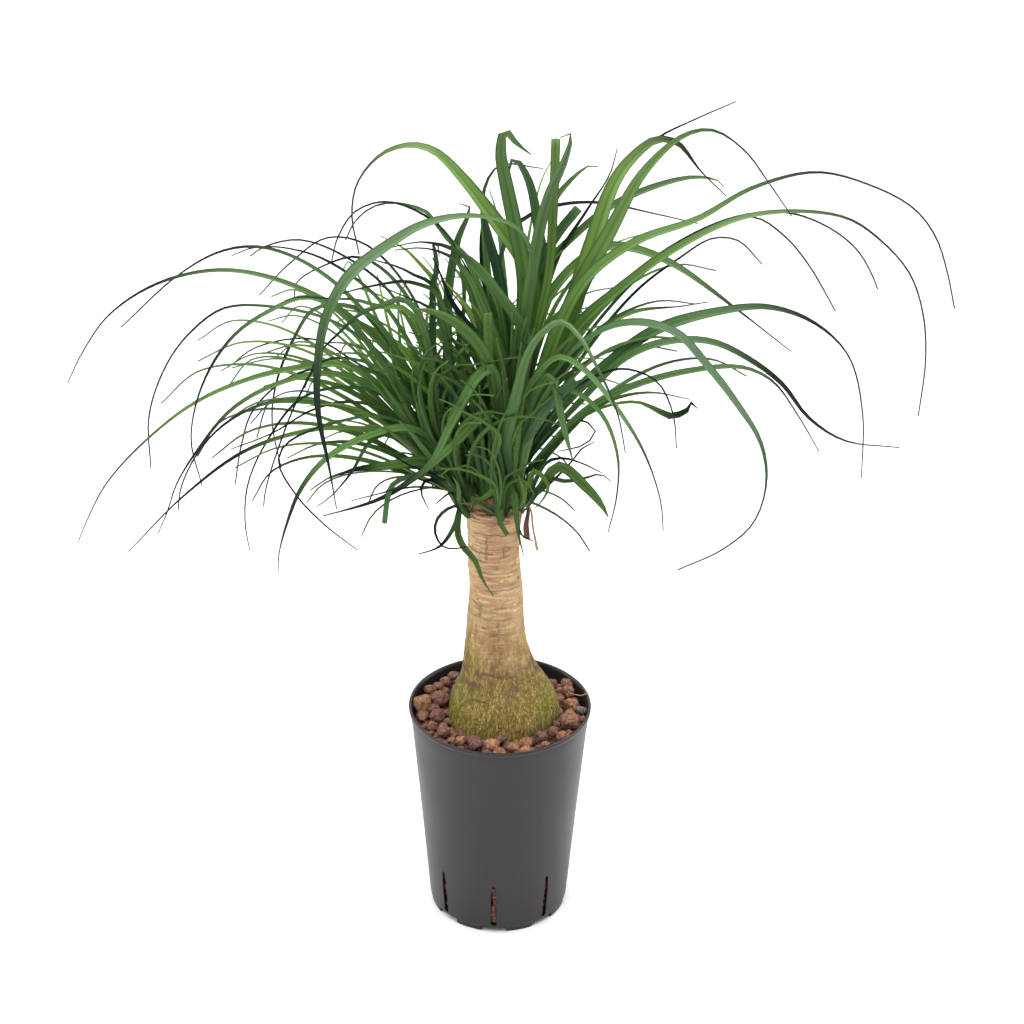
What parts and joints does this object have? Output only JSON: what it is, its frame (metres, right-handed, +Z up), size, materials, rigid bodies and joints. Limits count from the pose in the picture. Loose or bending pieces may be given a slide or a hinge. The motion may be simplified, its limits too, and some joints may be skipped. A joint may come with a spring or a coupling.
{
  "type": "potted ponytail palm",
  "caption": "Ponytail palm with a swollen, ringed trunk standing in clay pebbles in a tall tapered plastic pot, and long arching strap leaves in two heads on the trunk's cut top.",
  "frame": {"origin": "On the surface that the pot stands on, in the middle of the pot. It is also the bottom centre of the whole plant's box to within 3 mm.", "axes": "+Z up along the pot, +Y away from the viewer of the picture, +X to that viewer's right, where the taller head is."},
  "size_m": [0.6753, 0.4462, 0.7058],
  "materials": {
    "pot_plastic": "thin matt grey-black plastic with a soft sheen",
    "fired_clay": "rough porous fired clay, orange-brown to purple-brown",
    "bark": "tan corky bark above, yellow-green and finely cracked on the bulb",
    "green_leaf": "smooth waxy leaf, bright to blue green",
    "dry_leaf": "dull dried leaf, purple brown"
  },
  "bodies": {
    "root": {"pot": "pot_plastic", "clay_pebbles": "fired_clay", "trunk": "bark", "foliage": "green_leaf", "dry_leaves": "dry_leaf"}
  },
  "joints": []
}
